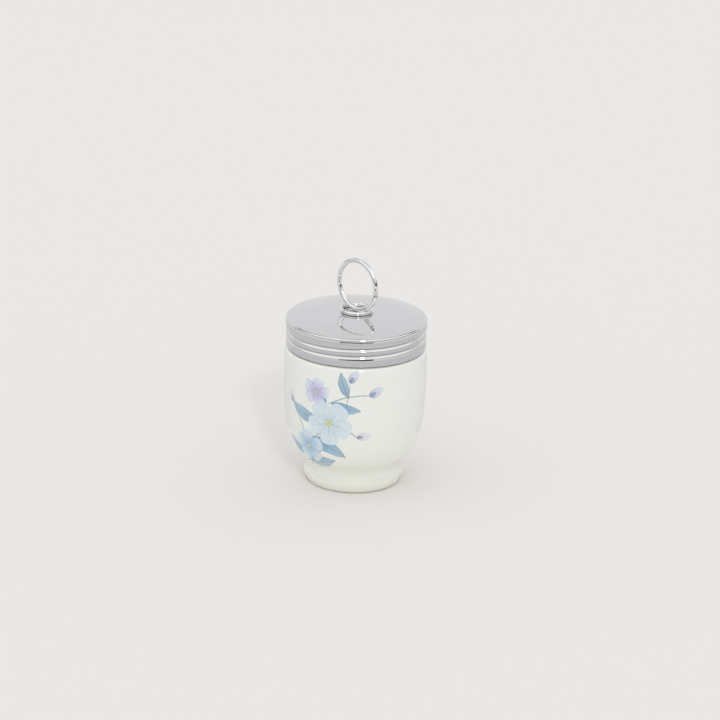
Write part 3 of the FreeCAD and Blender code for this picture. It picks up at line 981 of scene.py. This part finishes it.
# %% [markdown]
# The floor is a plain pale sheet that runs out of the picture on all sides, so it is also the background.
# The light is that of a white tent: an even, pale world, a very wide sun overhead that adds a little shape,
# and a smaller sun in front that puts the glints on the lid. A sun lights the far floor as much as the near
# floor, so the background keeps one tone. Metal in an all-white room has no contrast and looks like grey
# plastic, so the next cell adds something to reflect.

# %% Floor and light
FLOOR_HALF_SIDE, FLOOR_ROUGHNESS = 3.0, 0.6
FLOOR_COLOUR = srgb(238, 235, 232)
WORLD_COLOUR, WORLD_STRENGTH = (0.985, 0.99, 1.0, 1), 0.84


def staged(name, corners, faces, material):
    """A sheet that only dresses the set."""
    mesh = bpy.data.meshes.new(name)
    mesh.from_pydata([tuple(corner) for corner in corners], [], faces)
    mesh.materials.append(material)
    sheet = bpy.data.objects.new(name, mesh)
    scene.collection.objects.link(sheet)
    return sheet


def plain_material(name, colour, roughness, glow=0.0):
    """A matt material without a mirror part, with a glow if it is given one."""
    material, tree, surface = new_material(name)
    looks = {
        "Base Color": colour,
        "Roughness": roughness,
        "Specular IOR Level": 0.0,
        "Emission Strength": glow,
    }
    for label, value in looks.items():
        give(tree, value, surface.inputs[label])
    return material


def seen_from_camera(turn, rise, distance):
    """A place by its turn to the right of the camera and its rise, in degrees, as seen from the lid."""
    azimuth = CAMERA_AZIMUTH - math.pi / 2 + math.radians(turn)
    flat = distance * math.cos(math.radians(rise))
    height = LID_EDGE_HEIGHT * MM + distance * math.sin(math.radians(rise))
    return Vector((flat * math.cos(azimuth), flat * math.sin(azimuth), height))


def add_sun(name, turn, rise, strength, angle):
    data = bpy.data.lights.new(name, "SUN")
    data.energy = strength
    data.angle = math.radians(angle)
    lamp = bpy.data.objects.new(name, data)
    lamp.rotation_euler = (-seen_from_camera(turn, rise, 1.0)).to_track_quat("-Z", "Y").to_euler()
    scene.collection.objects.link(lamp)


def pale_world():
    world = bpy.data.worlds.new("pale_tent")
    world.use_nodes = True
    scene.world = world
    background = world.node_tree.nodes["Background"]
    background.inputs["Color"].default_value = WORLD_COLOUR
    background.inputs["Strength"].default_value = WORLD_STRENGTH


corners = [(x * FLOOR_HALF_SIDE, y * FLOOR_HALF_SIDE, 0) for x, y in ((-1, -1), (1, -1), (1, 1), (-1, 1))]
staged("floor", corners, [(0, 1, 2, 3)], plain_material("pale_floor", FLOOR_COLOUR, FLOOR_ROUGHNESS))
pale_world()
add_sun("overhead_sun", turn=-60, rise=65, strength=0.20, angle=80)
add_sun("front_sun", turn=11, rise=30, strength=0.45, angle=8)
print("floor", 2 * FLOOR_HALF_SIDE, "m wide, world strength", WORLD_STRENGTH)

# %% [markdown]
# A polished thing needs something dark and something bright to reflect. The cards below are seen only by
# glossy rays, so they mark the metal and the glaze but light neither the cup nor the floor. Each one is
# given by its turn from the camera and by two rises as seen from the lid, in degrees. They are a dim horizon,
# a dark place on the floor before the camera, a dimmer floor for the skirt, a gap in the roof that draws a
# line inside the lid's rounded edge, and one glowing card, black but for its glow, whose reflection is the
# bright highlight along that edge.

# %% Reflection cards
CARD_DISTANCE = 1.9
CARD_STEP = 6.0
CARD_OVER_FLOOR = 0.5
CARD_ROUGHNESS = 0.9


def far_off(rise):
    """An edge high up, as its rise and its distance."""
    return rise, CARD_DISTANCE


def on_floor(rise):
    """An edge just over the floor, as its rise below the lid and the distance that reaches it."""
    return rise, (LID_EDGE_HEIGHT - CARD_OVER_FLOOR) * MM / math.sin(math.radians(-rise))


def reflection_card(name, turns, low, high, grey, glow=0.0):
    """A curved card between two turns and two edges, for glossy rays alone."""
    columns = max(2, round((turns[1] - turns[0]) / CARD_STEP))
    corners, faces = [], []
    for i in range(columns + 1):
        turn = turns[0] + (turns[1] - turns[0]) * i / columns
        corners += [seen_from_camera(turn, *low), seen_from_camera(turn, *high)]
    for i in range(columns):
        faces.append((2 * i, 2 * i + 2, 2 * i + 3, 2 * i + 1))
    card = staged(name, corners, faces, plain_material(name, (grey, grey, grey, 1), CARD_ROUGHNESS, glow))
    card.visible_camera = False
    card.visible_diffuse = False
    card.visible_shadow = False
    print("card", name, "with", len(faces), "faces")


reflection_card("dim_horizon", (-120, 120), far_off(0), far_off(12), 0.16)
reflection_card("open_floor", (-25, 27), on_floor(-13), on_floor(-8.5), 0.01)
reflection_card("dim_floor", (-180, 180), on_floor(-50), on_floor(-15), 0.70)
reflection_card("roof_gap", (158, 202), far_off(58), far_off(86), 0.42)
reflection_card("roof_gap_right", (122, 158), far_off(36), far_off(62), 0.25)
reflection_card("roof_gap_left", (202, 238), far_off(36), far_off(62), 0.25)
# This card glows and is seen only in reflections: the lid's bright edge line is its reflection.
reflection_card("glowing_card", (-121, 121), far_off(34), far_off(62), 0.0, 1.15)

# %% [markdown]
# The last cell prints how many faces each rebuilt piece has.

# %% Finish
for piece in (cup, lid, base_ring, lifting_ring):
    print(piece.name, len(piece.data.polygons), "faces")
